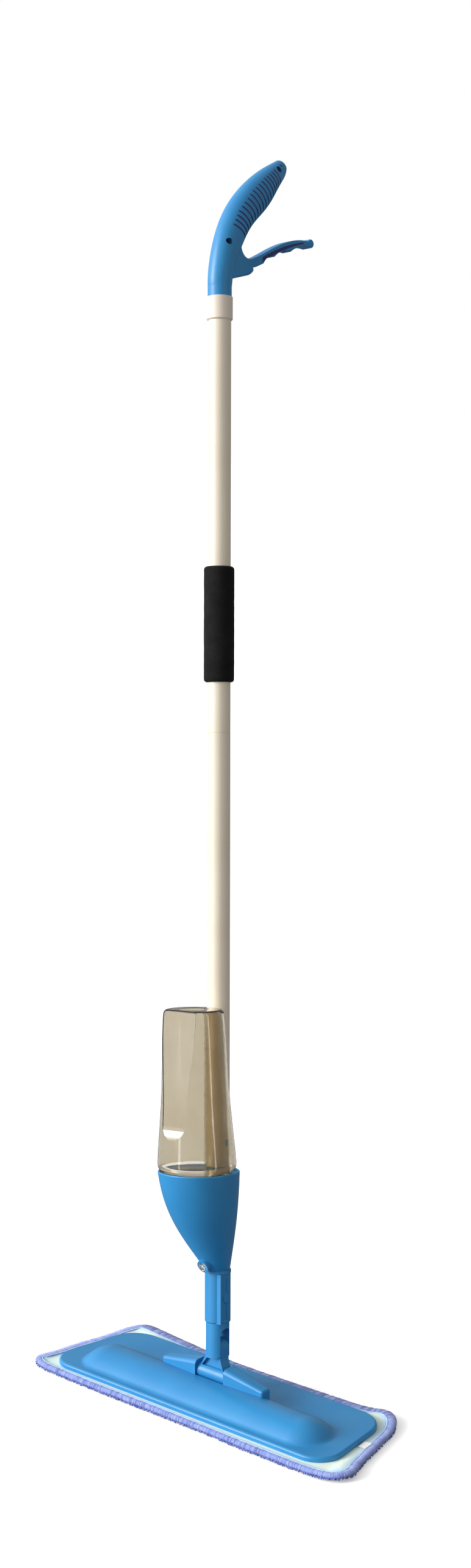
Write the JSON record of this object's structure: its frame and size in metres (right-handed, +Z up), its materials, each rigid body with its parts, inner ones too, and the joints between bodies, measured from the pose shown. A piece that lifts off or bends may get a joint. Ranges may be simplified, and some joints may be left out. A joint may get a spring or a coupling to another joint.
{
  "type": "spray mop",
  "caption": "Flat floor mop on a leaning pole, with a trigger grip, push rod, pump, lift-out bottle, spray nozzle and a two-axis head joint over a fabric pad",
  "frame": {"origin": "on the floor under the middle of the pad", "axes": "+Z up; +X along the pad's long side; -Y is the front, where the bottle and the nozzle are"},
  "size_m": [0.3924, 0.3262, 1.1745],
  "materials": {
    "blue_pile": "violet-blue microfibre pile with an overlocked border",
    "mint_loop": "pale mint loop fabric",
    "tag": "bare white woven tag",
    "blue_plastic": "satin sky-blue moulded plastic",
    "steel": "plain bright steel",
    "grey_foam": "dense grey foam sheet",
    "hooks": "white hook tape",
    "cream_tube": "cream powder coat on drawn tube",
    "white_plastic": "off-white moulded plastic",
    "black_foam": "fine closed-cell black foam sleeve",
    "seal_rubber": "soft black rubber",
    "clear_hose": "clear flexible tube",
    "clear_nozzle": "clear bright plastic",
    "smoke_clear": "smoky clear blown plastic"
  },
  "bodies": {
    "head": {"head_plate": "blue_plastic", "bracket_left": "blue_plastic", "bracket_right": "blue_plastic", "bracket_screws": "steel", "hinge_axle": "steel", "sole_foam": "grey_foam", "hook_strips": "hooks", "pad_pile": "blue_pile", "pad_backing": "mint_loop", "care_tag": "tag"},
    "swivel": {"yoke": "blue_plastic", "tilt_pin": "steel"},
    "pole": {"neck": "blue_plastic", "holder_shell": "blue_plastic", "holder_deck": "blue_plastic", "lower_tube": "cream_tube", "upper_tube": "cream_tube", "tube_joiner": "white_plastic", "rod_guides": "white_plastic", "foam_grip": "black_foam", "top_collar": "white_plastic", "pump_barrel": "white_plastic", "pump_cap": "white_plastic", "valve_balls": "steel", "inlet_hose": "clear_hose", "outlet_hose": "clear_hose", "nozzle_body": "clear_nozzle", "nozzle_tip": "clear_nozzle", "handle_left": "blue_plastic", "handle_right": "blue_plastic", "handle_screws": "steel", "trigger_pin": "steel"},
    "button": {"snap_button": "blue_plastic", "button_spring": "steel"},
    "squeeze": {"trigger": "blue_plastic"},
    "rod": {"rod_head": "white_plastic", "push_rod": "steel", "pump_piston": "white_plastic", "piston_seal": "seal_rubber", "pump_spring": "steel"},
    "tank": {"bottle": "smoke_clear", "bottle_cap": "white_plastic", "cap_seal": "seal_rubber", "cap_valve": "white_plastic"}
  },
  "joints": [
    {"name": "head_pitch", "type": "hinge", "parent": "head", "child": "swivel", "pos_m": [0, 0, 0.02785], "axis": [1, 0, 0], "range_deg": [-73, 55]},
    {"name": "head_roll", "type": "hinge", "parent": "swivel", "child": "pole", "pos_m": [0, 0.00305, 0.05266], "axis": [0, 0.9925, -0.1219], "range_deg": [-44, 56]},
    {"name": "button_press", "type": "slide", "parent": "pole", "child": "button", "axis": [-0.9945, -0.0127, -0.1037], "range_m": [0, 0.0035], "stiffness_N_per_m": 400, "springref_m": -0.004, "deforming": ["button_spring"]},
    {"name": "trigger_pull", "type": "hinge", "parent": "pole", "child": "squeeze", "pos_m": [-0.10808, 0.15318, 1.07029], "axis": [0.9945, 0.0127, 0.1037], "range_deg": [0, 22], "stiffness_Nm_per_rad": 1.2, "springref_deg": -11.46},
    {"name": "rod_push", "type": "slide", "parent": "pole", "child": "rod", "axis": [0.1045, -0.1212, -0.9871], "range_m": [0, 0.00973], "deforming": ["pump_spring"]},
    {"name": "bottle_lift", "type": "slide", "parent": "pole", "child": "tank", "axis": [-0.1045, 0.1212, 0.9871], "range_m": [0, 0.04]}
  ],
  "couplings": [
    {"joint": "rod_push", "follows": "trigger_pull", "m_per_rad": 0.025312}
  ]
}
